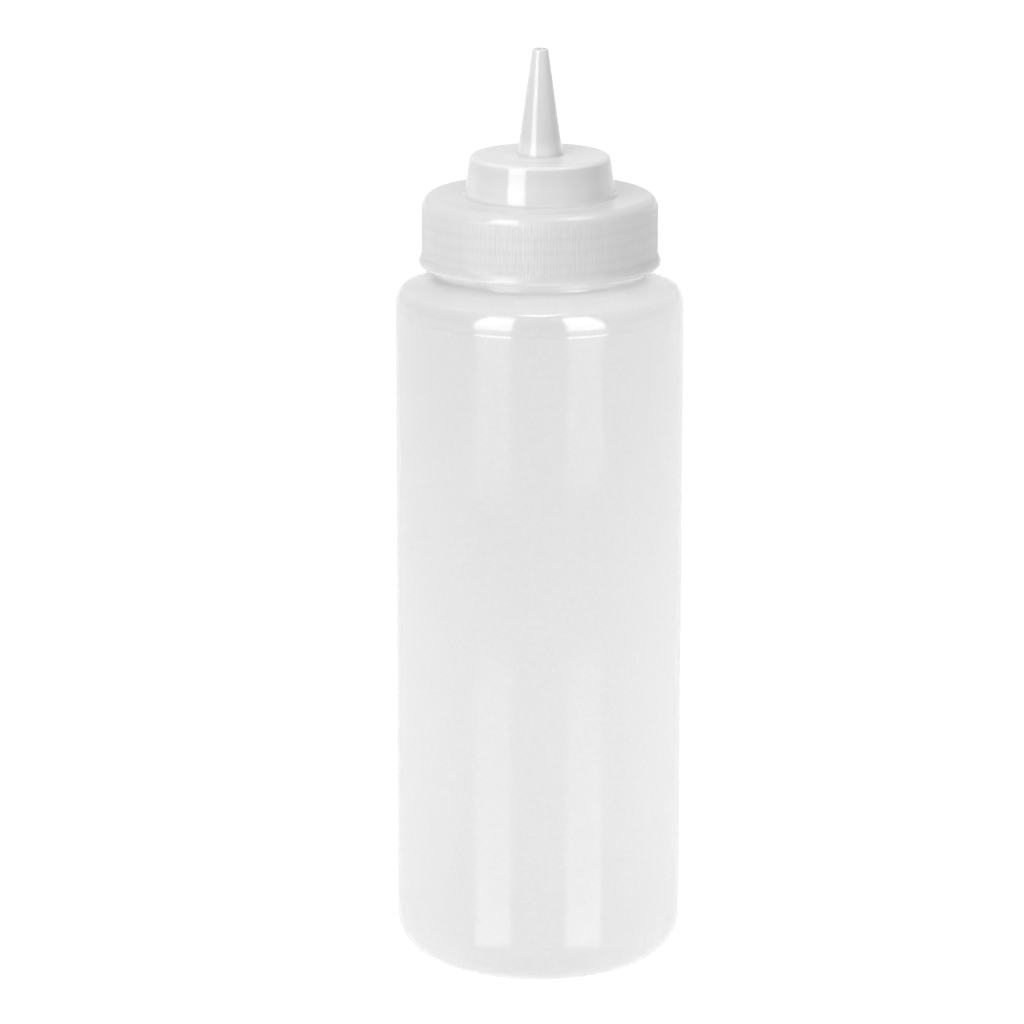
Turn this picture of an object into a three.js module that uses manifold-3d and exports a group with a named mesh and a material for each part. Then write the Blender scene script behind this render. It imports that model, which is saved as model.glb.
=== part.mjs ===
// Condiment squeeze bottle: a hollow round body of frosted plastic with a wide screw neck,
// and a two-tier ribbed cap that ends in a cone nozzle. Both are empty, and the cap is on.
// Millimetres, +Z up, origin at the centre of the ring that the bottle stands on.

import * as THREE from 'three';
import { mergeVertices } from 'three/addons/utils/BufferGeometryUtils.js';
import Module from 'manifold-3d';

const wasm = await Module();
wasm.setup();

// Facets round the axis: a multiple of four puts corners on the X and Y axes.
const AROUND = 40;

// Body
const BODY_RADIUS = 40.5;
const WALL = 1.1;
const BASE_CORNER = 12;
const BASE_INNER_CORNER = 10;
const STANDING_RING_WIDTH = 6;
const BASE_PUSH_UP = 1.6;
const PUSH_UP_RAMP = 4;

// Shoulder: a wide bend, a tight edge and a straight slope; angles in degrees
const SHOULDER_START = 190.1;
const SHOULDER_BEND = 7;
const SHOULDER_BEND_ANGLE = 40;
const SHOULDER_EDGE = 1.2;
const SHOULDER_SLOPE = 24;

// Neck and its screw thread
const NECK_RADIUS = 29.6;
const NECK_WALL = 1.4;
const NECK_FILLET = 1.2;
const NECK_TOP = 219.2;
const LIP_CHAMFER = 0.4;
const THREAD_RADIUS = 1.1;
const THREAD_HEIGHT = 0.75;
const THREAD_TURNS = 2.15;
const THREAD_STEPS_PER_TURN = 20;
const THREAD_PITCH = 3.75;
const THREAD_START = 206.9;
const THREAD_START_TURN = -0.3;

// Cap: a skirt with a bead at its foot, a lower deck, an upper tier
const CAP_BOTTOM = 201.5;
const CAP_WALL = 1.3;
const CAP_INNER_CHAMFER = 0.8;
const SKIRT_RADIUS = 32.86;
const SKIRT_TOP = 221.2;
const SKIRT_CORNER = 2.9;
const BEAD_RADIUS = 33.95;
const BEAD_EDGE = 0.7;
const BEAD_HEIGHT = 3;
const BEAD_TOP_ANGLE = 30;
const BEAD_KNEE_DEPTH = 0.3;
const BEAD_KNEE_HEIGHT = 0.6;
const TIER_BASE_RADIUS = 21.15;
const TIER_TOP_RADIUS = 19.85;
const TIER_TOP = 232.4;
const TIER_CORNER = 1.4;
const TIER_FILLET = 1.2;
const TIER_DRAFT = 8;

// Fine upright ribs round the skirt
const RIB_COUNT = 236;
const RIB_CREST = 0.18;
const RIB_VALLEY = 0.03;
const RIB_BOTTOM = 203.4;
const RIB_TOP = 218.9;

// Nozzle
const NOZZLE_BASE_RADIUS = 6.3;
const NOZZLE_TIP_RADIUS = 2.2;
const NOZZLE_TOP = 262.3;
const NOZZLE_TIP_EDGE = 0.7;
const NOZZLE_FILLET = 0.6;
const NOZZLE_WALL = 1.15;
const NOZZLE_RING_HEIGHTS = [239.9, 255.2];
const NOZZLE_RING_HALF = 0.2;
const NOZZLE_RING_STEP = 0.04;
const BORE_RADIUS = 1.05;
const BORE_STRAIGHT = 4;

/** One point of a profile: distance from the axis and height. */
function at(radius, height) {
  return new THREE.Vector2(radius, height);
}

/** Points of an arc in the profile plane; angles in degrees, 0 pointing out and 90 up. */
function arc(centreRadius, centreHeight, radius, fromAngle, toAngle, steps) {
  const points = [];
  for (let i = 0; i <= steps; i++) {
    const angle = THREE.MathUtils.degToRad(fromAngle + ((toAngle - fromAngle) * i) / steps);
    points.push(at(centreRadius + radius * Math.cos(angle), centreHeight + radius * Math.sin(angle)));
  }
  return points;
}

/** A profile turned round the Z axis. It starts and ends on the axis, or closes on itself. */
function turned(profile) {
  const geometry = new THREE.LatheGeometry(profile, AROUND);
  geometry.rotateX(Math.PI / 2);
  return geometry;
}

/** A closed geometry as a solid that can be joined to another. */
function solid(geometry) {
  const bare = geometry.clone();
  bare.deleteAttribute('normal');
  bare.deleteAttribute('uv');
  const merged = mergeVertices(bare, 1e-4);
  const mesh = new wasm.Mesh({
    numProp: 3,
    vertProperties: new Float32Array(merged.attributes.position.array),
    triVerts: new Uint32Array(merged.index.array),
  });
  return new wasm.Manifold(mesh);
}

/** A joined solid as a geometry. */
function geometryOf(joined) {
  const mesh = joined.getMesh();
  const geometry = new THREE.BufferGeometry();
  geometry.setAttribute('position', new THREE.BufferAttribute(mesh.vertProperties, 3));
  geometry.setIndex(new THREE.BufferAttribute(mesh.triVerts, 1));
  geometry.computeVertexNormals();
  return geometry;
}

/** The shoulder's first bend, which turns the wall in; inset measures inwards from the outside. */
function shoulderBend(inset, steps) {
  const centre = BODY_RADIUS - SHOULDER_BEND;
  return arc(centre, SHOULDER_START, SHOULDER_BEND - inset, 0, SHOULDER_BEND_ANGLE, steps);
}

/** The shoulder's tight edge outside, from the end of the bend to the straight slope. */
function shoulderEdge(steps) {
  const bend = THREE.MathUtils.degToRad(SHOULDER_BEND_ANGLE);
  const reach = SHOULDER_BEND - SHOULDER_EDGE;
  const centreRadius = BODY_RADIUS - SHOULDER_BEND + reach * Math.cos(bend);
  const centreHeight = SHOULDER_START + reach * Math.sin(bend);
  const slopeAngle = 90 - SHOULDER_SLOPE;
  return arc(centreRadius, centreHeight, SHOULDER_EDGE, SHOULDER_BEND_ANGLE, slopeAngle, steps);
}

/** Height of the straight slope at a radius, when it starts from a point of the section. */
function slopeHeight(start, radius) {
  return start.y + (start.x - radius) * Math.tan(THREE.MathUtils.degToRad(SHOULDER_SLOPE));
}

/** Half the bottle's section: up the outside from the base to the lip, then down the inside. */
function bottleProfile() {
  const ringOuter = BODY_RADIUS - BASE_CORNER;
  const ringInner = ringOuter - STANDING_RING_WIDTH;
  const pushUpRadius = ringInner - PUSH_UP_RAMP;
  const innerCornerRadius = BODY_RADIUS - WALL - BASE_INNER_CORNER;
  const innerCornerHeight = WALL + BASE_INNER_CORNER;
  const neckInner = NECK_RADIUS - NECK_WALL;
  const edge = shoulderEdge(2);
  const slopeStart = edge[edge.length - 1];
  const insideBend = shoulderBend(WALL, 3);
  const insideSlopeStart = insideBend[insideBend.length - 1];

  return [
    at(0, BASE_PUSH_UP),
    at(pushUpRadius, BASE_PUSH_UP),
    at(ringInner, 0),
    ...arc(ringOuter, BASE_CORNER, BASE_CORNER, -90, 0, 6),
    ...shoulderBend(0, 3),
    ...edge.slice(1),
    at(NECK_RADIUS + NECK_FILLET, slopeHeight(slopeStart, NECK_RADIUS + NECK_FILLET)),
    at(NECK_RADIUS, slopeHeight(slopeStart, NECK_RADIUS) + NECK_FILLET),
    at(NECK_RADIUS, NECK_TOP - LIP_CHAMFER),
    at(NECK_RADIUS - LIP_CHAMFER, NECK_TOP),
    at(neckInner, NECK_TOP),
    at(neckInner, slopeHeight(insideSlopeStart, neckInner)),
    ...insideBend.reverse(),
    ...arc(innerCornerRadius, innerCornerHeight, BASE_INNER_CORNER, 0, -90, 4),
    at(ringInner, WALL),
    at(pushUpRadius, BASE_PUSH_UP + WALL),
    at(0, BASE_PUSH_UP + WALL),
  ];
}

/** The helix along which the thread runs, sunk so that THREAD_HEIGHT stands proud of the neck. */
class ThreadLine extends THREE.Curve {
  getPoint(t, target = new THREE.Vector3()) {
    const turns = THREAD_TURNS * t;
    const angle = 2 * Math.PI * (THREAD_START_TURN + turns);
    const radius = NECK_RADIUS + THREAD_HEIGHT - THREAD_RADIUS;
    const height = THREAD_START + THREAD_PITCH * turns;
    return target.set(radius * Math.cos(angle), radius * Math.sin(angle), height);
  }
}

/** The neck's screw thread, a round ridge. */
function thread() {
  const section = new THREE.Shape();
  section.absarc(0, 0, THREAD_RADIUS, 0, 2 * Math.PI, false);
  return new THREE.ExtrudeGeometry(section, {
    extrudePath: new ThreadLine(),
    steps: Math.round(THREAD_STEPS_PER_TURN * THREAD_TURNS),
    curveSegments: 3,
  });
}

/** Outside radius of the nozzle's cone at a height. */
function nozzleRadius(height) {
  const share = (height - TIER_TOP) / (NOZZLE_TOP - TIER_TOP);
  return NOZZLE_BASE_RADIUS + (NOZZLE_TIP_RADIUS - NOZZLE_BASE_RADIUS) * share;
}

/** The nozzle's outside from its foot to the tip, with a faint step in at each ring. */
function nozzleOutside() {
  const foot = TIER_TOP + NOZZLE_FILLET;
  const points = [
    at(nozzleRadius(TIER_TOP) + NOZZLE_FILLET, TIER_TOP),
    at(nozzleRadius(foot), foot),
  ];
  for (const height of NOZZLE_RING_HEIGHTS) {
    points.push(at(nozzleRadius(height) + NOZZLE_RING_STEP, height - NOZZLE_RING_HALF));
    points.push(at(nozzleRadius(height) - NOZZLE_RING_STEP, height + NOZZLE_RING_HALF));
  }
  const edge = NOZZLE_TOP - NOZZLE_TIP_EDGE;
  points.push(...arc(nozzleRadius(edge) - NOZZLE_TIP_EDGE, edge, NOZZLE_TIP_EDGE, 0, 90, 2));
  return points;
}

/** The cap's outside from the foot of the skirt to the foot of the nozzle. */
function capOutside() {
  // The bead runs in to the skirt through a knee, at a share of the bead's depth and height.
  const kneeRadius = SKIRT_RADIUS + BEAD_KNEE_DEPTH * (BEAD_RADIUS - SKIRT_RADIUS);
  return [
    ...arc(BEAD_RADIUS - BEAD_EDGE, CAP_BOTTOM + BEAD_EDGE, BEAD_EDGE, -90, BEAD_TOP_ANGLE, 3),
    at(kneeRadius, CAP_BOTTOM + BEAD_KNEE_HEIGHT * BEAD_HEIGHT),
    at(SKIRT_RADIUS, CAP_BOTTOM + BEAD_HEIGHT),
    ...arc(SKIRT_RADIUS - SKIRT_CORNER, SKIRT_TOP - SKIRT_CORNER, SKIRT_CORNER, 0, 90, 4),
    at(TIER_BASE_RADIUS + TIER_FILLET, SKIRT_TOP),
    at(TIER_BASE_RADIUS, SKIRT_TOP + TIER_FILLET),
    ...arc(TIER_TOP_RADIUS - TIER_CORNER, TIER_TOP - TIER_CORNER, TIER_CORNER, TIER_DRAFT, 90, 3),
  ];
}

/** The cap's inside, down the nozzle's bore and under the two decks to the skirt's foot. */
function capInside() {
  const skirtInner = SKIRT_RADIUS - CAP_WALL;
  const tierInner = TIER_TOP_RADIUS - CAP_WALL;
  const deckUnder = SKIRT_TOP - CAP_WALL;
  const tierUnder = TIER_TOP - CAP_WALL;
  const boreFoot = NOZZLE_BASE_RADIUS - NOZZLE_WALL;
  return [
    at(BORE_RADIUS, NOZZLE_TOP),
    at(BORE_RADIUS, NOZZLE_TOP - BORE_STRAIGHT),
    at(boreFoot, TIER_TOP),
    at(boreFoot + CAP_INNER_CHAMFER, tierUnder),
    at(tierInner - CAP_INNER_CHAMFER, tierUnder),
    at(tierInner, tierUnder - CAP_INNER_CHAMFER),
    at(TIER_BASE_RADIUS - CAP_WALL, deckUnder),
    at(skirtInner - CAP_INNER_CHAMFER, deckUnder),
    at(skirtInner, deckUnder - CAP_INNER_CHAMFER),
    at(skirtInner, CAP_BOTTOM),
  ];
}

/** Half the cap's section, a loop that stays clear of the axis because the nozzle is open. */
function capProfile() {
  const inside = capInside();
  const foot = inside[inside.length - 1];
  return [foot.clone(), ...capOutside(), ...nozzleOutside(), ...inside];
}

/** The band of ribs: a toothed ring sunk halfway into the skirt's wall. */
function ribBand() {
  const outline = new THREE.Shape();
  const corners = 2 * RIB_COUNT;
  for (let i = 0; i < corners; i++) {
    const angle = (2 * Math.PI * i) / corners;
    const radius = SKIRT_RADIUS + (i % 2 === 0 ? RIB_CREST : RIB_VALLEY);
    const corner = at(radius * Math.cos(angle), radius * Math.sin(angle));
    if (i === 0) {
      outline.moveTo(corner.x, corner.y);
    } else {
      outline.lineTo(corner.x, corner.y);
    }
  }
  outline.closePath();
  const hole = new THREE.Path();
  hole.absarc(0, 0, SKIRT_RADIUS - CAP_WALL / 2, 0, 2 * Math.PI, true);
  outline.holes.push(hole);
  const band = new THREE.ExtrudeGeometry(outline, {
    depth: RIB_TOP - RIB_BOTTOM,
    bevelEnabled: false,
    curveSegments: AROUND / 2,
  });
  band.translate(0, 0, RIB_BOTTOM);
  return band;
}

/** The bottle: body, shoulder and neck in one blown wall, with the thread on the neck. */
function makeBottle() {
  const frostedPlastic = new THREE.MeshStandardMaterial({
    color: 0xe2e3e4,
    roughness: 0.4,
    metalness: 0,
    transparent: true,
    opacity: 0.8,
  });
  const joined = solid(turned(bottleProfile())).add(solid(thread()));
  const mesh = new THREE.Mesh(geometryOf(joined), frostedPlastic);
  mesh.name = 'bottle';
  return mesh;
}

/** The cap: skirt, decks and nozzle in one moulding. */
function makeCap() {
  const satinPlastic = new THREE.MeshStandardMaterial({
    color: 0xd9dadb,
    roughness: 0.28,
    metalness: 0,
  });
  const joined = solid(turned(capProfile())).add(solid(ribBand()));
  const mesh = new THREE.Mesh(geometryOf(joined), satinPlastic);
  mesh.name = 'cap';
  return mesh;
}

const squeezeBottle = new THREE.Group();
squeezeBottle.add(makeBottle(), makeCap());

export default squeezeBottle;
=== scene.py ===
# The finish of an empty condiment squeeze bottle: a frosted body and its glossier ribbed cap.
# Metres, +Z up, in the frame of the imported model. The camera stands on the -Y side.

import math

import bmesh
import bpy
from mathutils import Matrix, Vector


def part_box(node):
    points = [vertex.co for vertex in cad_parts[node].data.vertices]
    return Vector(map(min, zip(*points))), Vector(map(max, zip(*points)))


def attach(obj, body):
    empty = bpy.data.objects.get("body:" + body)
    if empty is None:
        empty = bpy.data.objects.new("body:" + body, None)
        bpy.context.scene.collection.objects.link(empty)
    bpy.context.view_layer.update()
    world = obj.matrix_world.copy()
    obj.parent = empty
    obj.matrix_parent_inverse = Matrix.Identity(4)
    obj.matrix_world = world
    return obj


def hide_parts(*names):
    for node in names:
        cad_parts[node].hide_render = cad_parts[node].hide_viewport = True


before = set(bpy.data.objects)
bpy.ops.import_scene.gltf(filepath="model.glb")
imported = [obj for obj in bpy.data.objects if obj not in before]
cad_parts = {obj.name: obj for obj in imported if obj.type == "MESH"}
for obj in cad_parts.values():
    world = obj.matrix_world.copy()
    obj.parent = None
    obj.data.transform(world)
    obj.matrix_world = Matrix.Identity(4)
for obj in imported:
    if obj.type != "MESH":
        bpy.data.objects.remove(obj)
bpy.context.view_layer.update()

BOTTLE_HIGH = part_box("bottle")[1]
CAP_LOW, CAP_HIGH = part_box("cap")

# Body. The outermost sizes come from the frame.
BODY_RADIUS = BOTTLE_HIGH.x
WALL = 0.0011
BASE_CORNER = 0.012
BASE_INNER_CORNER = 0.010
STANDING_RING_WIDTH = 0.006
BASE_PUSH_UP = 0.0016
PUSH_UP_RAMP = 0.004
PUSH_UP_HOLLOW_BEND = 0.002
PUSH_UP_RAISED_BEND = 0.001
STANDING_RING_INNER = BODY_RADIUS - BASE_CORNER - STANDING_RING_WIDTH

# Shoulder: a faint step in the wall, a wide bend, a tight edge outside and a straight slope
STEP_HEIGHT = 0.1886
STEP_DEPTH = 0.00008
STEP_RISE = 0.00025
SHOULDER_START = 0.1901
SHOULDER_BEND = 0.007
SHOULDER_BEND_ANGLE = math.radians(40)
SHOULDER_EDGE = 0.0012
SHOULDER_SLOPE = math.radians(24)

# Neck and its screw thread
NECK_RADIUS = 0.0296
NECK_WALL = 0.0014
NECK_FILLET = 0.0012
NECK_INNER_FILLET = 0.0015
NECK_TOP = BOTTLE_HIGH.z
LIP_OUTER_EDGE = 0.0004
LIP_INNER_EDGE = 0.0003
THREAD_HEIGHT = 0.00075
THREAD_HALF_WIDTH = 0.0011
THREAD_TURNS = 2.15
THREAD_PITCH = 0.00375
THREAD_START = 0.2069
THREAD_START_TURN = -0.3
THREAD_RUN_OUT = 0.06

# Cap
CAP_BOTTOM = CAP_LOW.z
CAP_WALL = 0.0013
SKIRT_RADIUS = 0.03286
SKIRT_TOP = 0.2212
SKIRT_CORNER = 0.0029
BEAD_RADIUS = CAP_HIGH.x
BEAD_HEIGHT = 0.003
BEAD_BAND = BEAD_HEIGHT / 2.5
BEAD_EDGE = 0.0007
BEAD_FILLET = 0.0018
TIER_BASE_RADIUS = 0.02115
TIER_DRAFT = math.radians(8)
TIER_TOP = 0.2324
TIER_CORNER = 0.0014
TIER_FILLET = 0.0012
TIER_TOP_RADIUS = TIER_BASE_RADIUS - math.tan(TIER_DRAFT) * (TIER_TOP - SKIRT_TOP)

# The cap's inside: hollow corners, the edge where the tier starts and the edge of the foot
CAP_INNER_CORNER = 0.0008
TIER_INNER_EDGE = 0.0005
SKIRT_INNER_EDGE = 0.0003

# Fine upright ribs round the skirt
RIB_COUNT = 236
RIB_CREST = 0.00018
RIB_VALLEY = 0.00003
RIB_BOTTOM = 0.2034
RIB_TOP = 0.2189
RIB_RUN_OUT = 0.0005

# Nozzle
NOZZLE_BASE_RADIUS = 0.0063
NOZZLE_TIP_RADIUS = 0.0022
NOZZLE_TOP = CAP_HIGH.z
NOZZLE_WALL = 0.00115
NOZZLE_FILLET = 0.0006
NOZZLE_TIP_EDGE = 0.0007
NOZZLE_INNER_FLARE = 0.0005
NOZZLE_INNER_EDGE = 0.0004
NOZZLE_RINGS = (0.2399, 0.2552)
NOZZLE_RING_HALF = 0.0002
NOZZLE_RING_STEP = 0.00004
BORE_RADIUS = 0.00105
BORE_STRAIGHT = 0.004
BORE_EDGE = 0.0002

# Mesh fineness: facets round the axis, facets for each rib on the skirt, the turn of an arc's
# facets, and the longest facets up the wall and up the thread
AROUND = RIB_COUNT
RIB_FACETS = 4
ARC_STEP = math.radians(6)
FEWEST_ARC_STEPS = 2
LONGEST_FACET = 0.008
THREAD_FACET = 0.0003
DIVIDING_SLACK = 1e-6
SHARP_ANGLE = math.radians(40)

# Where the skirt's fine rings end and the coarse ones start, on flat stretches: how far in
# from the skirt's corner on the lower deck, and from the bead on the foot
DECK_SEAM_FINE, DECK_SEAM_COARSE = 0.001, 0.0015
FOOT_SEAM_FINE, FOOT_SEAM_COARSE = 0.0012, 0.0015

# Both plastics: how deep light scatters, the part of a noise that is used, and its detail
MILK_DEPTH = 0.002
NOISE_LOW, NOISE_HIGH = 0.3, 0.7
SOFT_DETAIL = 2.0
FINE_DETAIL = 3.0
EVEN = (1.0, 1.0, 1.0)

# The bottle's plastic. Scales are in waves for each metre, reliefs in metres.
FROST_IOR = 1.42
FROST_SCALE = 1100
FROST_CONTRAST = 0.02
FROST_ROUGHNESS = (0.05, 0.08)
FROST_RELIEF = 0.000002
THICKNESS_SCALE = 40
THICKNESS_STRETCH = (1.0, 1.0, 0.12)
THICKNESS_RANGE = (0.994, 1.006)
BODY_WAVE_SCALE = 60
BODY_WAVE_STRETCH = (1.0, 1.0, 0.3)
BODY_WAVE_RELIEF = 0.000012

# The cap's plastic. THREAD_SHADE is how much painted shade the thread behind the skirt puts on it.
SATIN_IOR = 1.5
CLOUD_SCALE = 70
CLOUD_RANGE = (0.99, 1.01)
SKIN_SCALE = 1500
SKIN_ROUGHNESS = (0.08, 0.13)
SKIN_RELIEF = 0.000001
CAP_WAVE_SCALE = 150
CAP_WAVE_RELIEF = 0.00002
THREAD_SHADE = 0.03

# Greys by height, as stops of (height, grey) from the lowest up, tuned to the photograph's tones. Besides
# the plastics' own greys they hold painted light and painted shade.
BOTTLE_GREYS_WITH_PAINTED_LIGHT = (
    # Lighter round the base corner: painted light
    (0.002, 0.885),
    (BASE_CORNER + 0.002, 0.86),
    # Much lighter on the neck and the top of the shoulder under the cap: painted light that lifts the
    # shade under the cap's bead
    (0.1965, 0.86),
    (0.1985, 0.985),
)
CAP_GREYS_WITH_PAINTED_LIGHT_AND_SHADE = (
    # The skirt and the lower deck darker: painted shade, where the neck stands behind the skirt and in
    # front of the tier
    (SKIRT_TOP - SKIRT_CORNER, 0.675),
    (SKIRT_TOP, 0.66),
    # Lighter at the tier's fillet and the foot of its wall: painted light over the shade of that corner
    (SKIRT_TOP + 0.0008, 0.80),
    (SKIRT_TOP + 0.0025, 0.76),
    (TIER_TOP - TIER_CORNER, 0.69),
    (TIER_TOP, 0.72),
    # A lighter band at the nozzle's foot: painted light over its shade
    (TIER_TOP + 0.0012, 0.80),
    (TIER_TOP + 0.006, 0.685),
    # The tip darker: painted shade against the light from above
    (NOZZLE_TOP - 0.0012, 0.685),
    (NOZZLE_TOP, 0.60),
)

# Camera, at the photograph's viewing angle: distance from the axis, height, turns and lens in mm
CAMERA_DISTANCE = 1.482
CAMERA_HEIGHT = 0.5034
CAMERA_PITCH = math.radians(14.16)
CAMERA_YAW = math.radians(0.299)
CAMERA_ROLL = math.radians(0.06)
CAMERA_LENS = 189.36

# Studio: brightness is the light's own, where 1 is the white of the picture
TABLE_SIZE = 30.0
TABLE_GREY = 0.5
TABLE_GLOW = 0.725
TABLE_ROUGHNESS = 0.5
TABLE_IOR = 1.5

# Tall panels at the front left and right, seen only as highlights. Each is dimmer at its foot.
PANEL_AZIMUTH = math.radians(37)
PANEL_DISTANCE = 0.85
PANEL_ON_BOTTLE_WIDTH = 0.47
PANEL_ON_CAP_WIDTH = 0.42
PANEL_FOOT = 0.13
PANEL_TOP = 1.35
PANEL_ON_BOTTLE = 8.5
PANEL_ON_CAP = 5.5
PANEL_FOOT_BRIGHTNESS = 2.0

# Fills on the cap, from where the panels are
CAP_FILL_SIZE = 0.6
CAP_FILL_LEFT = 4.4
CAP_FILL_RIGHT = 1.1

# Fills on the bottle, on either side, high ones and low ones: distance, height, size, brightness
BOTTLE_FILL_AZIMUTH = math.radians(51)
BOTTLE_FILLS = (
    (0.6, 0.6, 0.5, 1.2),
    (0.2, 0.04, 0.15, 1.3),
)

# Overhead: a fill on each piece, and a strip that the bottle's shoulder mirrors
OVERHEAD_HEIGHT = 1.0
OVERHEAD_SIZE = 0.3
OVERHEAD_ON_BOTTLE = 7.0
OVERHEAD_ON_CAP = 6.0
STRIP_HEIGHT = 1.2
STRIP_WIDTH = 0.25
STRIP_LENGTH = 0.9
STRIP_BRIGHTNESS = 11.0

# A highlight on the cap from high on the right
RIGHT_GLOW_AZIMUTH = math.radians(60)
RIGHT_GLOW_DISTANCE = 0.55
RIGHT_GLOW_HEIGHT = 1.2
RIGHT_GLOW_SIZE = 0.45
RIGHT_GLOW_BRIGHTNESS = 4.0

# Surroundings: their brightness, and the parts of a direction over which it changes
FRONT_HORIZON = 0.3
BACK_HORIZON = 0.88
ZENITH = 0.5
BACK_START, BACK_END = 0.3, 0.7
RISE_START, RISE_END = 0.0, 0.9

# An area light shines along its own -Z, so this turns it to shine up
UPWARD = Matrix.Rotation(math.pi, 4, "X").to_quaternion()

# Light pooled on the table along each panel's direction. The near pools lie end to end, each
# reaching POOL_GROWTH times as far from the bottle's wall as the one before, and get dimmer.
# Their widths grow so that the wall mirrors them as one streak. The far pool gives its nearest
# and farthest reach and its brightness.
NEAR_POOLS = 8
NEAREST_POOL = 0.03
POOL_GROWTH = 1.355
NEAREST_POOL_BRIGHTNESS = 2.8
POOL_DIMMING = 0.87
FAR_POOL = (0.58, 0.81, 1.2)
STREAK_WIDTH = 0.0104
POOL_HALF_ANGLE = math.radians(14.5)
POOL_HEIGHT = 0.001


def arc(centre_radius, centre_height, radius, start, turn):
    """Points of an arc in an outline, on through a turn; 0 points out and 90 degrees up."""
    steps = max(FEWEST_ARC_STEPS, math.ceil(abs(turn) / ARC_STEP))
    angles = [start + turn * i / steps for i in range(steps + 1)]
    return [(centre_radius + radius * math.cos(a), centre_height + radius * math.sin(a)) for a in angles]


def corner_arc(before, corner, after, radius):
    """Points that round one corner of an outline with an arc that touches both of its sides."""
    ax, az = before[0] - corner[0], before[1] - corner[1]
    bx, bz = after[0] - corner[0], after[1] - corner[1]
    a_length, b_length = math.hypot(ax, az), math.hypot(bx, bz)
    ax, az, bx, bz = ax / a_length, az / a_length, bx / b_length, bz / b_length
    half = math.acos(max(-1.0, min(1.0, ax * bx + az * bz))) / 2
    reach = radius / math.tan(half)
    mx, mz = ax + bx, az + bz
    m_length = math.hypot(mx, mz)
    to_centre = radius / math.sin(half)
    centre = (corner[0] + mx / m_length * to_centre, corner[1] + mz / m_length * to_centre)
    start = (corner[0] + ax * reach, corner[1] + az * reach)
    end = (corner[0] + bx * reach, corner[1] + bz * reach)
    first = math.atan2(start[1] - centre[1], start[0] - centre[0])
    turn = math.atan2(end[1] - centre[1], end[0] - centre[0]) - first
    turn = (turn + math.pi) % (2 * math.pi) - math.pi
    return arc(*centre, radius, first, turn)


def rounded(corners):
    """An outline from its corners, each (radius, height, rounding)."""
    points = []
    for i, (radius, height, rounding) in enumerate(corners):
        if rounding == 0:
            points.append((radius, height))
        else:
            before, after = corners[i - 1], corners[i + 1]
            points += corner_arc(before[:2], (radius, height), after[:2], rounding)
    return points


def divided(points, longest):
    """The same outline with no stretch longer than longest."""
    result = [points[0]]
    for (r0, z0), (r1, z1) in zip(points, points[1:]):
        parts = max(1, math.ceil(math.hypot(r1 - r0, z1 - z0) / longest - DIVIDING_SLACK))
        for i in range(1, parts + 1):
            result.append((r0 + (r1 - r0) * i / parts, z0 + (z1 - z0) * i / parts))
    return result


def ring(bm, radius, height, count, relief=None):
    """One ring of points round the axis, or one point on it. relief adds to the radius."""
    if radius == 0:
        return [bm.verts.new((0, 0, height))]
    verts = []
    for i in range(count):
        angle = 2 * math.pi * i / count
        r = radius + (relief(angle, height) if relief else 0)
        verts.append(bm.verts.new((r * math.cos(angle), r * math.sin(angle), height)))
    return verts


def join_rings(bm, low, high):
    """Faces from one ring to the next, whose counts are equal or one a multiple of the other."""
    if len(low) == 1 or len(high) == 1:
        many, pole = (high, low[0]) if len(low) == 1 else (low, high[0])
        for i, vert in enumerate(many):
            pair = (vert, many[(i + 1) % len(many)])
            bm.faces.new((pole, *pair) if len(low) == 1 else (pole, *reversed(pair)))
        return
    coarse = min(len(low), len(high))
    for i in range(coarse):
        edges = []
        for side in (low, high):
            share = len(side) // coarse
            edges.append([side[(i * share + k) % len(side)] for k in range(share + 1)])
        bm.faces.new([*edges[0], *reversed(edges[1])])


def finished_mesh(name, bm):
    """An object from the mesh, smooth but for its sharp edges, with every face pointing out."""
    bmesh.ops.recalc_face_normals(bm, faces=bm.faces)
    mesh = bpy.data.meshes.new(name)
    bm.to_mesh(mesh)
    bm.free()
    mesh.shade_smooth()
    mesh.set_sharp_from_angle(angle=SHARP_ANGLE)
    piece = bpy.data.objects.new(name, mesh)
    bpy.context.scene.collection.objects.link(piece)
    return piece


def shoulder_bend(inset):
    """The first bend, which turns the wall in; inset measures inwards from the outside."""
    centre = BODY_RADIUS - SHOULDER_BEND
    return arc(centre, SHOULDER_START, SHOULDER_BEND - inset, 0, SHOULDER_BEND_ANGLE)


def shoulder_edge(bend_end):
    """The tight edge outside, from the end of the bend to the straight slope."""
    centre_radius = bend_end[0] - SHOULDER_EDGE * math.cos(SHOULDER_BEND_ANGLE)
    centre_height = bend_end[1] - SHOULDER_EDGE * math.sin(SHOULDER_BEND_ANGLE)
    turn = math.pi / 2 - SHOULDER_SLOPE - SHOULDER_BEND_ANGLE
    return arc(centre_radius, centre_height, SHOULDER_EDGE, SHOULDER_BEND_ANGLE, turn)


def slope_height(start, radius):
    """Height of the straight slope at a radius, when it starts from a point of the outline."""
    return start[1] + (start[0] - radius) * math.tan(SHOULDER_SLOPE)


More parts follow.
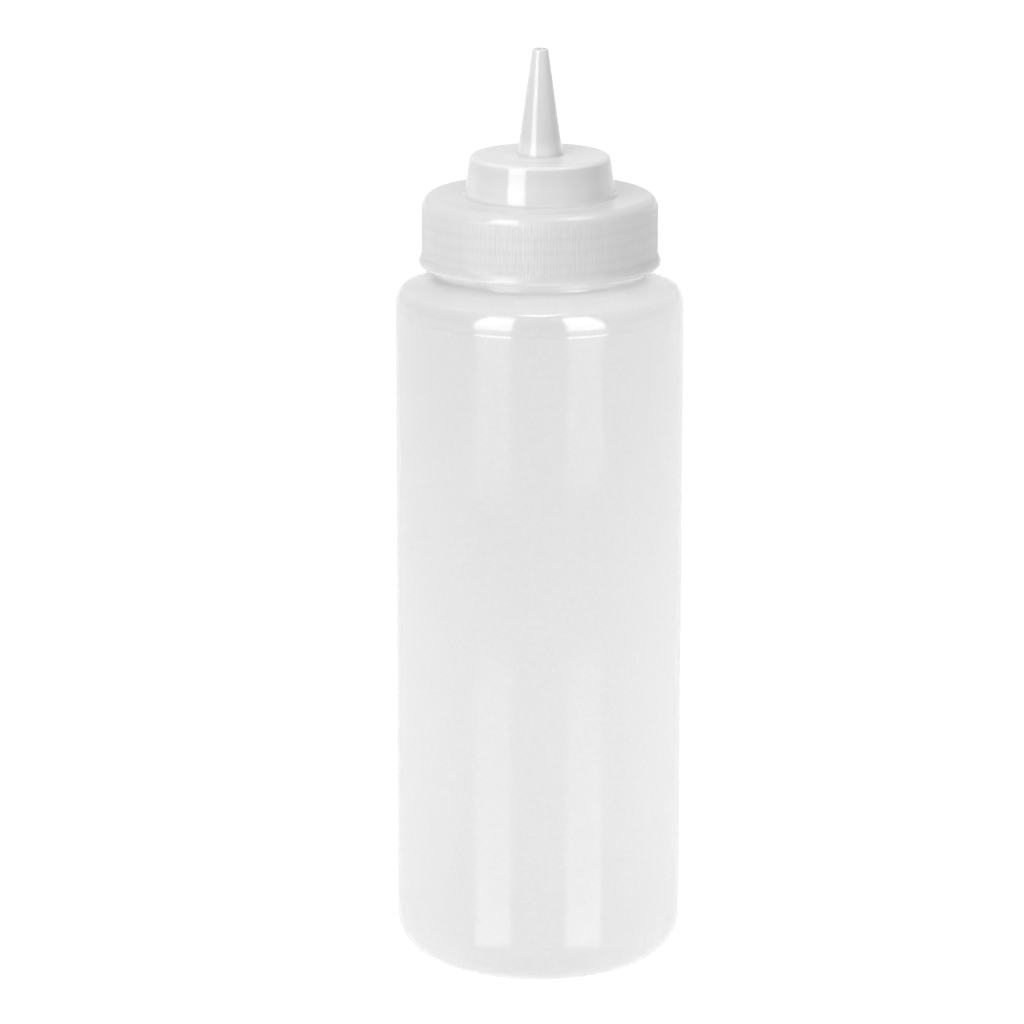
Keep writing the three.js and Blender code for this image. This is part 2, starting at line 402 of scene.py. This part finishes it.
def bottle_outside():
    """From the middle of the base out and up to below the neck's thread."""
    base = rounded([
        (0, BASE_PUSH_UP, 0),
        (STANDING_RING_INNER - PUSH_UP_RAMP, BASE_PUSH_UP, PUSH_UP_HOLLOW_BEND),
        (STANDING_RING_INNER, 0, PUSH_UP_RAISED_BEND),
        (BODY_RADIUS, 0, BASE_CORNER),
        (BODY_RADIUS, STEP_HEIGHT - STEP_RISE, 0),
        (BODY_RADIUS, STEP_HEIGHT, 0),
        (BODY_RADIUS - STEP_DEPTH, STEP_HEIGHT + STEP_RISE, 0),
        (BODY_RADIUS - STEP_DEPTH, STEP_HEIGHT + 2 * STEP_RISE, 0),
    ])
    shoulder = shoulder_bend(STEP_DEPTH)
    shoulder += shoulder_edge(shoulder[-1])[1:]
    neck = rounded([
        shoulder[-1] + (0,),
        (NECK_RADIUS, slope_height(shoulder[-1], NECK_RADIUS), NECK_FILLET),
        (NECK_RADIUS, THREAD_START - 2 * THREAD_HALF_WIDTH, 0),
    ])
    return base + shoulder + neck[1:]


def bottle_inside():
    """From above the neck's thread over the lip and down the inside to the middle of the base."""
    neck = NECK_RADIUS - NECK_WALL
    body = BODY_RADIUS - WALL
    bend = shoulder_bend(WALL)
    lip = rounded([
        (NECK_RADIUS, THREAD_START + (THREAD_TURNS + 0.5) * THREAD_PITCH, 0),
        (NECK_RADIUS, NECK_TOP, LIP_OUTER_EDGE),
        (neck, NECK_TOP, LIP_INNER_EDGE),
        (neck, slope_height(bend[-1], neck), NECK_INNER_FILLET),
        bend[-1] + (0,),
    ])
    base = rounded([
        bend[0] + (0,),
        (body, WALL, BASE_INNER_CORNER),
        (STANDING_RING_INNER, WALL, PUSH_UP_HOLLOW_BEND),
        (STANDING_RING_INNER - PUSH_UP_RAMP, BASE_PUSH_UP + WALL, PUSH_UP_RAISED_BEND),
        (0, BASE_PUSH_UP + WALL, 0),
    ])
    return lip + bend[-2::-1] + base[1:]


def thread_relief(angle, height):
    """How far the screw thread stands proud of the neck at a place."""
    start = THREAD_START_TURN
    turns = angle / (2 * math.pi)
    relief = 0.0
    for whole in range(-1, math.ceil(THREAD_TURNS) + 1):
        along = turns + whole
        inside = min(along - start, start + THREAD_TURNS - along)
        off = abs(height - THREAD_START - THREAD_PITCH * (along - start)) / THREAD_HALF_WIDTH
        if inside > 0 and off < 1:
            ends = min(1.0, inside / THREAD_RUN_OUT)
            relief = max(relief, THREAD_HEIGHT * ends * (0.5 + 0.5 * math.cos(math.pi * off)))
    return relief


def make_bottle():
    """Body, shoulder and neck in one thin wall, open at the mouth."""
    outside = divided(bottle_outside(), LONGEST_FACET)
    inside = divided(bottle_inside(), LONGEST_FACET)
    threaded = divided([outside[-1], inside[0]], THREAD_FACET)[1:-1]
    bm = bmesh.new()
    rings = [ring(bm, radius, height, AROUND) for radius, height in outside]
    rings += [ring(bm, radius, height, AROUND, thread_relief) for radius, height in threaded]
    rings += [ring(bm, radius, height, AROUND) for radius, height in inside]
    for low, high in zip(rings, rings[1:]):
        join_rings(bm, low, high)
    return finished_mesh("frosted_bottle", bm)


def rib_relief(angle, height):
    """How far the ribs stand proud of the skirt at a place."""
    ends = min(height - RIB_BOTTOM, RIB_TOP - height) / RIB_RUN_OUT
    wave = 0.5 + 0.5 * math.cos(RIB_COUNT * angle)
    return max(0.0, min(1.0, ends)) * (RIB_VALLEY + (RIB_CREST - RIB_VALLEY) * wave)


def skirt_outline():
    """The cap's outside from under the bead to the lower deck, where the ribs are."""
    return rounded([
        (BEAD_RADIUS - FOOT_SEAM_FINE, CAP_BOTTOM, 0),
        (BEAD_RADIUS, CAP_BOTTOM, BEAD_EDGE),
        (BEAD_RADIUS, CAP_BOTTOM + BEAD_BAND, BEAD_EDGE),
        (SKIRT_RADIUS, CAP_BOTTOM + BEAD_HEIGHT, BEAD_FILLET),
        (SKIRT_RADIUS, SKIRT_TOP, SKIRT_CORNER),
        (SKIRT_RADIUS - SKIRT_CORNER - DECK_SEAM_FINE, SKIRT_TOP, 0),
    ])


def with_rib_ends(points):
    """The skirt's outline with points added where the ribs start and end."""
    heights = [RIB_BOTTOM, RIB_BOTTOM + RIB_RUN_OUT, RIB_TOP - RIB_RUN_OUT, RIB_TOP]
    result = [points[0]]
    for (r0, z0), (r1, z1) in zip(points, points[1:]):
        for height in heights:
            if z0 < height < z1:
                result.append((r0 + (r1 - r0) * (height - z0) / (z1 - z0), height))
        result.append((r1, z1))
    return result


def nozzle_radius(height):
    """Outside radius of the nozzle's cone at a height."""
    share = (height - TIER_TOP) / (NOZZLE_TOP - TIER_TOP)
    return NOZZLE_BASE_RADIUS + (NOZZLE_TIP_RADIUS - NOZZLE_BASE_RADIUS) * share


def tier_and_nozzle_outline():
    """The cap's outside from the lower deck up to the nozzle's tip and down its straight bore."""
    corners = [
        (SKIRT_RADIUS - SKIRT_CORNER - DECK_SEAM_COARSE, SKIRT_TOP, 0),
        (TIER_BASE_RADIUS, SKIRT_TOP, TIER_FILLET),
        (TIER_TOP_RADIUS, TIER_TOP, TIER_CORNER),
        (NOZZLE_BASE_RADIUS, TIER_TOP, NOZZLE_FILLET),
    ]
    for height in NOZZLE_RINGS:
        corners.append((nozzle_radius(height) + NOZZLE_RING_STEP, height - NOZZLE_RING_HALF, 0))
        corners.append((nozzle_radius(height) - NOZZLE_RING_STEP, height + NOZZLE_RING_HALF, 0))
    corners.append((NOZZLE_TIP_RADIUS, NOZZLE_TOP, NOZZLE_TIP_EDGE))
    corners.append((BORE_RADIUS, NOZZLE_TOP, BORE_EDGE))
    corners.append((BORE_RADIUS, NOZZLE_TOP - BORE_STRAIGHT, 0))
    return rounded(corners)


def cap_inside():
    """From the bore down under both decks to the foot of the skirt."""
    foot = NOZZLE_BASE_RADIUS - NOZZLE_WALL
    skirt = SKIRT_RADIUS - CAP_WALL
    return rounded([
        (BORE_RADIUS, NOZZLE_TOP - BORE_STRAIGHT, 0),
        (foot, TIER_TOP, 0),
        (foot + NOZZLE_INNER_FLARE, TIER_TOP - CAP_WALL, NOZZLE_INNER_EDGE),
        (TIER_TOP_RADIUS - CAP_WALL, TIER_TOP - CAP_WALL, CAP_INNER_CORNER),
        (TIER_BASE_RADIUS - CAP_WALL, SKIRT_TOP - CAP_WALL, TIER_INNER_EDGE),
        (skirt, SKIRT_TOP - CAP_WALL, CAP_INNER_CORNER),
        (skirt, CAP_BOTTOM, SKIRT_INNER_EDGE),
        (BEAD_RADIUS - FOOT_SEAM_COARSE, CAP_BOTTOM, 0),
    ])


def make_cap():
    """Skirt, decks and nozzle in one moulding, open at the tip."""
    bm = bmesh.new()
    ribbed = divided(with_rib_ends(skirt_outline()), LONGEST_FACET)
    plain = divided(tier_and_nozzle_outline() + cap_inside()[1:], LONGEST_FACET)
    rings = [ring(bm, radius, height, AROUND * RIB_FACETS, rib_relief) for radius, height in ribbed]
    rings += [ring(bm, radius, height, AROUND) for radius, height in plain]
    for low, high in zip(rings, rings[1:] + rings[:1]):
        join_rings(bm, low, high)
    return finished_mesh("ribbed_cap", bm)


def feed(tree, socket, value):
    """Sets a socket to a number, or links it to an output."""
    if isinstance(value, (int, float)):
        socket.default_value = value
    else:
        tree.links.new(value, socket)


def smooth_step(tree, value, start, end, low, high):
    """A smooth change from low to high, each a number or an output, as value goes from start to end."""
    node = tree.nodes.new("ShaderNodeMapRange")
    node.interpolation_type = "SMOOTHSTEP"
    for name, number in zip(("From Min", "From Max", "To Min", "To Max"), (start, end, low, high)):
        feed(tree, node.inputs[name], number)
    feed(tree, node.inputs["Value"], value)
    return node.outputs["Result"]


class Nodes:
    """A material's node tree, with short ways to add and link nodes."""

    def __init__(self, name):
        self.material = bpy.data.materials.new(name)
        self.material.use_nodes = True
        self.tree = self.material.node_tree
        self.shader = self.tree.nodes["Principled BSDF"]
        self.place = self.tree.nodes.new("ShaderNodeTexCoord").outputs["Object"]

    def link(self, output, socket):
        """Feeds a socket from an output."""
        self.tree.links.new(output, socket)

    def noise(self, scale, detail=SOFT_DETAIL, stretch=EVEN):
        """Noise from 0 to 1; scale is in waves for each metre."""
        mapping = self.tree.nodes.new("ShaderNodeMapping")
        mapping.inputs["Scale"].default_value = stretch
        self.link(self.place, mapping.inputs["Vector"])
        texture = self.tree.nodes.new("ShaderNodeTexNoise")
        texture.inputs["Scale"].default_value = scale
        texture.inputs["Detail"].default_value = detail
        self.link(mapping.outputs["Vector"], texture.inputs["Vector"])
        return texture.outputs["Fac"]

    def ranged(self, value, low, high):
        """A noise's used part carried over to the range from low to high."""
        node = self.tree.nodes.new("ShaderNodeMapRange")
        node.inputs["From Min"].default_value = NOISE_LOW
        node.inputs["From Max"].default_value = NOISE_HIGH
        node.inputs["To Min"].default_value = low
        node.inputs["To Max"].default_value = high
        self.link(value, node.inputs["Value"])
        return node.outputs["Result"]

    def bump(self, height, distance, under=None):
        """Relief from a height, on top of the one under it; distance is in metres."""
        node = self.tree.nodes.new("ShaderNodeBump")
        node.inputs["Distance"].default_value = distance
        node.inputs["Strength"].default_value = 1.0
        self.link(height, node.inputs["Height"])
        if under:
            self.link(under, node.inputs["Normal"])
        return node.outputs["Normal"]

    def grey(self, value):
        """A grey colour from one value."""
        node = self.tree.nodes.new("ShaderNodeCombineColor")
        for name in ("Red", "Green", "Blue"):
            self.link(value, node.inputs[name])
        return node.outputs["Color"]

    def axis(self, name):
        """One coordinate of the place, in metres."""
        node = self.tree.nodes.new("ShaderNodeSeparateXYZ")
        self.link(self.place, node.inputs["Vector"])
        return node.outputs[name]

    def calc(self, operation, *values):
        """The result of one operation on values, each a number or an output."""
        node = self.tree.nodes.new("ShaderNodeMath")
        node.operation = operation
        for socket, value in zip(node.inputs, values):
            feed(self.tree, socket, value)
        return node.outputs["Value"]

    def step(self, value, start, end, low, high):
        """A smooth change from low to high while a value runs from start to end."""
        return smooth_step(self.tree, value, start, end, low, high)

    def by_height(self, stops):
        """A value that runs through stops of height and value from the lowest to the highest."""
        height = self.axis("Z")
        total = stops[0][1]
        for (start, low), (end, high) in zip(stops, stops[1:]):
            if low != high:
                total = self.calc("ADD", total, self.step(height, start, end, 0, high - low))
        return total

    def set(self, **values):
        """Plain values on the shader's own sockets."""
        for name, value in values.items():
            self.shader.inputs[name.replace("_", " ")].default_value = value


def frosted_plastic():
    """Thin blown plastic: milky, fine-grained, with a soft gloss and faint uneven thickness; its grey also
    carries painted light at the base corner and under the cap.
    """
    nodes = Nodes("frosted_plastic")
    nodes.set(IOR=FROST_IOR, Subsurface_Weight=1.0, Subsurface_Scale=MILK_DEPTH, Subsurface_Radius=EVEN)
    thickness = nodes.ranged(nodes.noise(THICKNESS_SCALE, stretch=THICKNESS_STRETCH), *THICKNESS_RANGE)
    frost = nodes.noise(FROST_SCALE, FINE_DETAIL)
    grain = nodes.calc("ADD", thickness, nodes.ranged(frost, -FROST_CONTRAST, FROST_CONTRAST))
    # The grey by height holds painted light as well as the plastic's own grey
    milk_and_painted_shading = nodes.calc("MULTIPLY", nodes.by_height(BOTTLE_GREYS_WITH_PAINTED_LIGHT), grain)
    nodes.link(nodes.grey(milk_and_painted_shading), nodes.shader.inputs["Base Color"])
    nodes.link(nodes.ranged(frost, *FROST_ROUGHNESS), nodes.shader.inputs["Roughness"])
    wave = nodes.bump(nodes.noise(BODY_WAVE_SCALE, stretch=BODY_WAVE_STRETCH), BODY_WAVE_RELIEF)
    nodes.link(nodes.bump(frost, FROST_RELIEF, under=wave), nodes.shader.inputs["Normal"])
    return nodes.material


def painted_thread_shade(nodes):
    """Painted shade of the neck's screw thread behind the skirt, in bands: what is left of the skirt's
    grey in front of the thread.
    """
    height = nodes.axis("Z")
    turns = nodes.calc("DIVIDE", nodes.calc("ARCTAN2", nodes.axis("Y"), nodes.axis("X")), 2 * math.pi)
    ridges = nodes.calc("DIVIDE", nodes.calc("SUBTRACT", height, THREAD_START), THREAD_PITCH)
    phase = nodes.calc("MULTIPLY", nodes.calc("SUBTRACT", ridges, turns), 2 * math.pi)
    wave = nodes.calc("COSINE", nodes.calc("ADD", phase, 2 * math.pi * THREAD_START_TURN))
    half = THREAD_PITCH / 2
    end = THREAD_START + THREAD_TURNS * THREAD_PITCH
    inside = nodes.calc("MULTIPLY", nodes.step(height, THREAD_START - half, THREAD_START, 0, 1),
                        nodes.step(height, end, end + half, 1, 0))
    ridge = nodes.calc("MULTIPLY", nodes.calc("MAXIMUM", wave, 0), inside)
    return nodes.calc("SUBTRACT", 1, nodes.calc("MULTIPLY", ridge, THREAD_SHADE))


def satin_plastic():
    """Moulded plastic: milky and glossier, with painted shade on the skirt where the neck and its thread
    stand behind it, and painted light and shade by height.
    """
    nodes = Nodes("satin_plastic")
    nodes.set(IOR=SATIN_IOR, Subsurface_Weight=1.0, Subsurface_Scale=MILK_DEPTH, Subsurface_Radius=EVEN)
    cloud = nodes.ranged(nodes.noise(CLOUD_SCALE), *CLOUD_RANGE)
    # The grey by height holds painted light and painted shade as well as the plastic's own grey
    milk_and_painted_shading = nodes.by_height(CAP_GREYS_WITH_PAINTED_LIGHT_AND_SHADE)
    grey = nodes.calc("MULTIPLY", nodes.calc("MULTIPLY", cloud, milk_and_painted_shading), painted_thread_shade(nodes))
    nodes.link(nodes.grey(grey), nodes.shader.inputs["Base Color"])
    skin = nodes.noise(SKIN_SCALE, FINE_DETAIL)
    nodes.link(nodes.ranged(skin, *SKIN_ROUGHNESS), nodes.shader.inputs["Roughness"])
    wave = nodes.bump(nodes.noise(CAP_WAVE_SCALE), CAP_WAVE_RELIEF)
    nodes.link(nodes.bump(skin, SKIN_RELIEF, under=wave), nodes.shader.inputs["Normal"])
    return nodes.material


def table_material():
    """A plain table that glows, so that the picture's ground comes out white."""
    nodes = Nodes("white_table")
    nodes.set(Base_Color=(TABLE_GREY, TABLE_GREY, TABLE_GREY, 1), Roughness=TABLE_ROUGHNESS, IOR=TABLE_IOR)
    nodes.set(Emission_Color=(1, 1, 1, 1), Emission_Strength=TABLE_GLOW)
    return nodes.material


def make_floor():
    """The table that the bottle stands on."""
    bm = bmesh.new()
    bmesh.ops.create_grid(bm, x_segments=1, y_segments=1, size=TABLE_SIZE / 2)
    mesh = bpy.data.meshes.new("floor")
    bm.to_mesh(mesh)
    bm.free()
    floor = bpy.data.objects.new("floor", mesh)
    bpy.context.scene.collection.objects.link(floor)
    floor.data.materials.append(table_material())


def make_light(name, width, height, brightness, place, target):
    """A rectangular soft light that points from place to target."""
    data = bpy.data.lights.new(name, "AREA")
    data.shape = "RECTANGLE"
    data.size = width
    data.size_y = height
    data.energy = brightness * math.pi * width * height
    light = bpy.data.objects.new(name, data)
    bpy.context.scene.collection.objects.link(light)
    light.location = place
    light.rotation_mode = "QUATERNION"
    light.rotation_quaternion = (light.location - target).to_track_quat("Z", "Y")
    light.visible_camera = False
    return light


def light_only(light, piece):
    """Keeps a light to one piece."""
    lit = bpy.data.collections.new(light.name + "_lights")
    lit.objects.link(piece)
    light.light_linking.receiver_collection = lit


def on_table(azimuth, distance, height):
    """A place at a height over the table, at an azimuth from the camera's side and a distance."""
    return Vector((distance * math.sin(azimuth), -distance * math.cos(azimuth), height))


def make_highlight(name, piece, width, height, brightness, place, target):
    """A soft light that only shows as a highlight on one piece."""
    light = make_light(name, width, height, brightness, place, target)
    light.visible_diffuse = False
    light_only(light, piece)
    return light


def make_panel(name, piece, azimuth, width, brightness):
    """A tall soft panel, dimmer towards its foot."""
    for part, foot, top, strength in (
        ("upper", PANEL_FOOT, PANEL_TOP, brightness),
        ("lower", 0, PANEL_FOOT, PANEL_FOOT_BRIGHTNESS),
    ):
        middle = (foot + top) / 2
        make_highlight(f"{name}_{part}", piece, width, top - foot, strength,
                       on_table(azimuth, PANEL_DISTANCE, middle), Vector((0, 0, middle)))


def make_pools(name, azimuth, bottle):
    """Bands of light on the table along one azimuth, which the bottle's wall mirrors."""
    pools = [FAR_POOL]
    for i in range(NEAR_POOLS):
        near = NEAREST_POOL * POOL_GROWTH**i
        pools.append((near, near * POOL_GROWTH, NEAREST_POOL_BRIGHTNESS * POOL_DIMMING**i))
    wall = on_table(azimuth / 2, BODY_RADIUS, POOL_HEIGHT)
    for i, (near, far, brightness) in enumerate(pools):
        place = wall + on_table(azimuth, (near + far) / 2, 0)
        width = STREAK_WIDTH + (near + far) * math.tan(POOL_HALF_ANGLE)
        pool = make_highlight(f"{name}_pool_{i}", bottle, width, far - near, brightness, place, wall)
        pool.rotation_quaternion = Matrix.Rotation(azimuth, 4, "Z").to_quaternion() @ UPWARD


def make_fill(name, piece, size, brightness, place, height):
    """A soft light on one piece, aimed at a height on its axis, that leaves no highlight.

    It reaches the piece as if nothing else stood in its way."""
    fill = make_light(name, size, size, brightness, place, Vector((0, 0, height)))
    fill.visible_glossy = False
    light_only(fill, piece)
    fill.light_linking.blocker_collection = fill.light_linking.receiver_collection


def make_lights(bottle, cap):
    """Panels at the front left and right, fills on each piece, and highlights from above."""
    make_panel("cap_panel", cap, -PANEL_AZIMUTH, PANEL_ON_CAP_WIDTH, PANEL_ON_CAP)
    for name, side, cap_fill in (("left", -1, CAP_FILL_LEFT), ("right", 1, CAP_FILL_RIGHT)):
        make_panel("bottle_panel_" + name, bottle, side * PANEL_AZIMUTH,
                   PANEL_ON_BOTTLE_WIDTH, PANEL_ON_BOTTLE)
        make_pools(name, side * PANEL_AZIMUTH, bottle)
        for i, (distance, height, size, brightness) in enumerate(BOTTLE_FILLS):
            place = on_table(side * BOTTLE_FILL_AZIMUTH, distance, height)
            make_fill(f"bottle_fill_{name}_{i}", bottle, size, brightness, place,
                      min(height, NECK_TOP))
        place = on_table(side * PANEL_AZIMUTH, PANEL_DISTANCE, (PANEL_FOOT + PANEL_TOP) / 2)
        make_fill("cap_fill_" + name, cap, CAP_FILL_SIZE, cap_fill, place, SKIRT_TOP)
    for piece, fill in ((bottle, OVERHEAD_ON_BOTTLE), (cap, OVERHEAD_ON_CAP)):
        make_fill("overhead_" + piece.name, piece, OVERHEAD_SIZE, fill,
                  Vector((0, 0, OVERHEAD_HEIGHT)), SKIRT_TOP)
    make_highlight("strip", bottle, STRIP_WIDTH, STRIP_LENGTH, STRIP_BRIGHTNESS,
                   Vector((0, 0, STRIP_HEIGHT)), Vector((0, 0, 0)))
    make_highlight("right_glow", cap, RIGHT_GLOW_SIZE, RIGHT_GLOW_SIZE, RIGHT_GLOW_BRIGHTNESS,
                   on_table(RIGHT_GLOW_AZIMUTH, RIGHT_GLOW_DISTANCE, RIGHT_GLOW_HEIGHT),
                   Vector((0, 0, SKIRT_TOP)))


def make_world():
    """Surroundings that are bright behind the bottle, grey in front of it and even overhead."""
    world = bpy.data.worlds.new("studio")
    bpy.context.scene.world = world
    world.use_nodes = True
    tree = world.node_tree
    direction = tree.nodes.new("ShaderNodeSeparateXYZ")
    place = tree.nodes.new("ShaderNodeTexCoord")
    tree.links.new(place.outputs["Generated"], direction.inputs["Vector"])
    back, up = direction.outputs["Y"], direction.outputs["Z"]
    horizon = smooth_step(tree, back, BACK_START, BACK_END, FRONT_HORIZON, BACK_HORIZON)
    brightness = smooth_step(tree, up, RISE_START, RISE_END, horizon, ZENITH)
    background = tree.nodes["Background"]
    feed(tree, background.inputs["Strength"], brightness)
    background.inputs["Color"].default_value = (1, 1, 1, 1)


def make_camera():
    """The camera, all but level from side to side, with the bottle right of the picture's centre."""
    data = bpy.data.cameras.new("camera")
    data.lens = CAMERA_LENS
    camera = bpy.data.objects.new("camera", data)
    bpy.context.scene.collection.objects.link(camera)
    turn = Matrix.Rotation(CAMERA_YAW, 4, "Z") @ Matrix.Rotation(math.pi / 2 - CAMERA_PITCH, 4, "X")
    turn @= Matrix.Rotation(CAMERA_ROLL, 4, "Z")
    camera.matrix_world = Matrix.Translation((0, -CAMERA_DISTANCE, CAMERA_HEIGHT)) @ turn
    bpy.context.scene.camera = camera


make_camera()
bottle = make_bottle()
cap = make_cap()
for piece, node, slot, material in (
    (bottle, "bottle", "frosted_plastic", frosted_plastic()),
    (cap, "cap", "satin_plastic", satin_plastic()),
):
    piece.data.materials.append(material)
    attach(piece, "root")
    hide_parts(node)
make_floor()
make_lights(bottle, cap)
make_world()
bpy.context.scene.view_settings.view_transform = "Standard"
